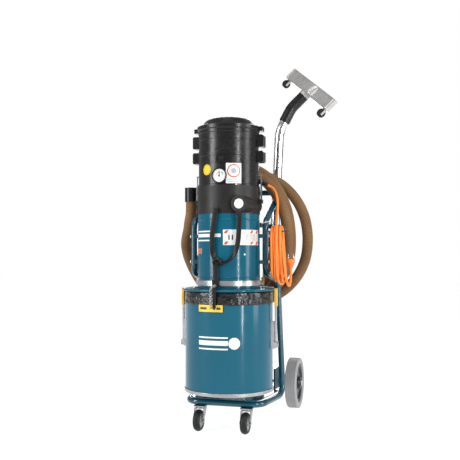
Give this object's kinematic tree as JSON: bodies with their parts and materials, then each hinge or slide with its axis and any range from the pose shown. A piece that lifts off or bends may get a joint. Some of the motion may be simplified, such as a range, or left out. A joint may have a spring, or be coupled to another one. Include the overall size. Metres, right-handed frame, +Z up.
{
  "type": "dust collector",
  "caption": "Tall two-wheel trolley dust collector with a slide-out drum, cyclone, motor head, capped inlet, hose and floor nozzle.",
  "frame": {"origin": "on the floor under the axis of the bin", "axes": "+Z up, front faces -Y, +X is the right side"},
  "size_m": [0.619, 0.6654, 1.3925],
  "materials": {
    "frame_paint": "gloss",
    "drum_paint": "gloss",
    "bright_steel": "satin",
    "zinc": "satin",
    "black_plastic": "satin",
    "hub_black": "satin",
    "grey_rubber": "matte",
    "caster_rubber": "matte",
    "bag_film": "gloss",
    "strap_rubber": "matte",
    "latch_steel": "satin",
    "lever_yellow": "gloss",
    "chrome": "polished",
    "cast_aluminium": "satin",
    "hose_brown": "matte",
    "cable_orange": "satin",
    "filter_paper": "matte",
    "motor_metal": "satin",
    "gauge_white": "satin",
    "needle_black": "matte",
    "rocker_black": "gloss",
    "bolt_white": "gloss"
  },
  "bodies": {
    "trolley": {"base_tube": "frame_paint", "left_upright": "frame_paint", "right_upright": "frame_paint", "handle_bar": "frame_paint", "base_plate": "frame_paint", "rear_axle": "bright_steel", "caster_plates": "zinc", "lid": "drum_paint", "clamp_band": "bright_steel", "housing": "drum_paint", "inlet_section": "black_plastic", "vortex_tube": "drum_paint", "motor_housing": "black_plastic", "housing_clips": "black_plastic", "top_cap": "black_plastic", "filter_cartridge": "filter_paper", "vacuum_motor": "motor_metal", "gauge_case": "gauge_white", "switch_frame": "black_plastic", "frame_brackets": "frame_paint", "frame_bolts": "bolt_white", "strap_fittings": "strap_rubber", "strap": "strap_rubber", "cable_gland": "black_plastic", "mains_cable": "cable_orange", "cable_hank": "cable_orange", "cable_plug": "cable_orange", "hose_coil": "hose_brown", "hose_cuff": "black_plastic", "hose_tail": "hose_brown", "wand_cuff": "black_plastic", "hose_lead": "hose_brown", "wand_tube": "chrome", "wand_elbow": "black_plastic", "wand_clips": "frame_paint"},
    "container": {"bin": "drum_paint", "bin_ring": "bright_steel", "liner": "bag_film", "latch_brackets": "latch_steel", "chain": "bright_steel"},
    "left_latch": {"left_latch": "lever_yellow"},
    "right_latch": {"right_latch": "lever_yellow"},
    "band_lever": {"band_lever": "lever_yellow"},
    "left_head_latch": {"left_head_latch": "latch_steel"},
    "right_head_latch": {"right_head_latch": "latch_steel"},
    "inlet_cap": {"inlet_cap": "black_plastic"},
    "needle": {"gauge_needle": "needle_black"},
    "rocker": {"rocker": "rocker_black"},
    "impeller": {"impeller": "motor_metal"},
    "left_wheel": {"left_tyre": "grey_rubber", "left_hub": "hub_black"},
    "right_wheel": {"right_tyre": "grey_rubber", "right_hub": "hub_black"},
    "left_caster": {"left_caster_fork": "zinc"},
    "right_caster": {"right_caster_fork": "zinc"},
    "left_caster_wheel": {"left_caster_wheel": "caster_rubber"},
    "right_caster_wheel": {"right_caster_wheel": "caster_rubber"},
    "nozzle": {"nozzle_body": "cast_aluminium"},
    "left_nozzle_wheel": {"left_nozzle_wheel": "hub_black"},
    "right_nozzle_wheel": {"right_nozzle_wheel": "hub_black"}
  },
  "joints": [
    {"name": "left_wheel_spin", "type": "hinge", "parent": "trolley", "child": "left_wheel", "pos_m": [-0.17, 0.38, 0.1], "axis": [1, 0, 0], "continuous": true},
    {"name": "right_wheel_spin", "type": "hinge", "parent": "trolley", "child": "right_wheel", "pos_m": [0.17, 0.38, 0.1], "axis": [1, 0, 0], "continuous": true},
    {"name": "left_caster_swivel", "type": "hinge", "parent": "trolley", "child": "left_caster", "pos_m": [-0.085, -0.067, 0.08], "axis": [0, 0, 1], "continuous": true},
    {"name": "right_caster_swivel", "type": "hinge", "parent": "trolley", "child": "right_caster", "pos_m": [0.085, -0.067, 0.08], "axis": [0, 0, 1], "continuous": true},
    {"name": "left_caster_roll", "type": "hinge", "parent": "left_caster", "child": "left_caster_wheel", "pos_m": [-0.085, -0.092, 0.0375], "axis": [1, 0, 0], "continuous": true},
    {"name": "right_caster_roll", "type": "hinge", "parent": "right_caster", "child": "right_caster_wheel", "pos_m": [0.085, -0.092, 0.0375], "axis": [1, 0, 0], "continuous": true},
    {"name": "container_slide", "type": "slide", "parent": "trolley", "child": "container", "axis": [0, -1, 0], "range_m": [0, 0.36]},
    {"name": "left_latch_swing", "type": "hinge", "parent": "container", "child": "left_latch", "pos_m": [-0.1735, 0, 0.3], "axis": [0, -1, 0], "range_deg": [0, 35]},
    {"name": "right_latch_swing", "type": "hinge", "parent": "container", "child": "right_latch", "pos_m": [0.1735, 0, 0.3], "axis": [0, 1, 0], "range_deg": [0, 35]},
    {"name": "band_lever_swing", "type": "hinge", "parent": "trolley", "child": "band_lever", "pos_m": [0.1216, 0.03, 0.512], "axis": [1, 0, 0], "range_deg": [0, 50]},
    {"name": "left_head_latch_swing", "type": "hinge", "parent": "trolley", "child": "left_head_latch", "pos_m": [-0.121, 0, 0.812], "axis": [0, -1, 0], "range_deg": [0, 50]},
    {"name": "right_head_latch_swing", "type": "hinge", "parent": "trolley", "child": "right_head_latch", "pos_m": [0.121, 0, 0.812], "axis": [0, 1, 0], "range_deg": [0, 50]},
    {"name": "inlet_cap_pull", "type": "slide", "parent": "trolley", "child": "inlet_cap", "axis": [-0.117, -0.9931, 0], "range_m": [0, 0.06]},
    {"name": "gauge_needle_turn", "type": "hinge", "parent": "trolley", "child": "needle", "pos_m": [-0.004, -0.1142, 0.898], "axis": [0, -1, 0], "range_deg": [-60, 60]},
    {"name": "rocker_tilt", "type": "hinge", "parent": "trolley", "child": "rocker", "pos_m": [0, -0.11, 0.956], "axis": [1, 0, 0], "range_deg": [-6, 6]},
    {"name": "impeller_spin", "type": "hinge", "parent": "trolley", "child": "impeller", "pos_m": [0, 0, 1.005], "axis": [0, 0, 1], "continuous": true},
    {"name": "nozzle_swivel", "type": "hinge", "parent": "trolley", "child": "nozzle", "pos_m": [0.22516, 0.29449, 1.25031], "axis": [0.7214, 0.0401, 0.6913], "range_deg": [-90, 90]},
    {"name": "left_nozzle_roll", "type": "hinge", "parent": "nozzle", "child": "left_nozzle_wheel", "pos_m": [0.13255, 0.41, 1.33013], "axis": [0.5317, -0.6716, -0.5159], "continuous": true},
    {"name": "right_nozzle_roll", "type": "hinge", "parent": "nozzle", "child": "right_nozzle_wheel", "pos_m": [0.31121, 0.18433, 1.15678], "axis": [0.5317, -0.6716, -0.5159], "continuous": true}
  ]
}
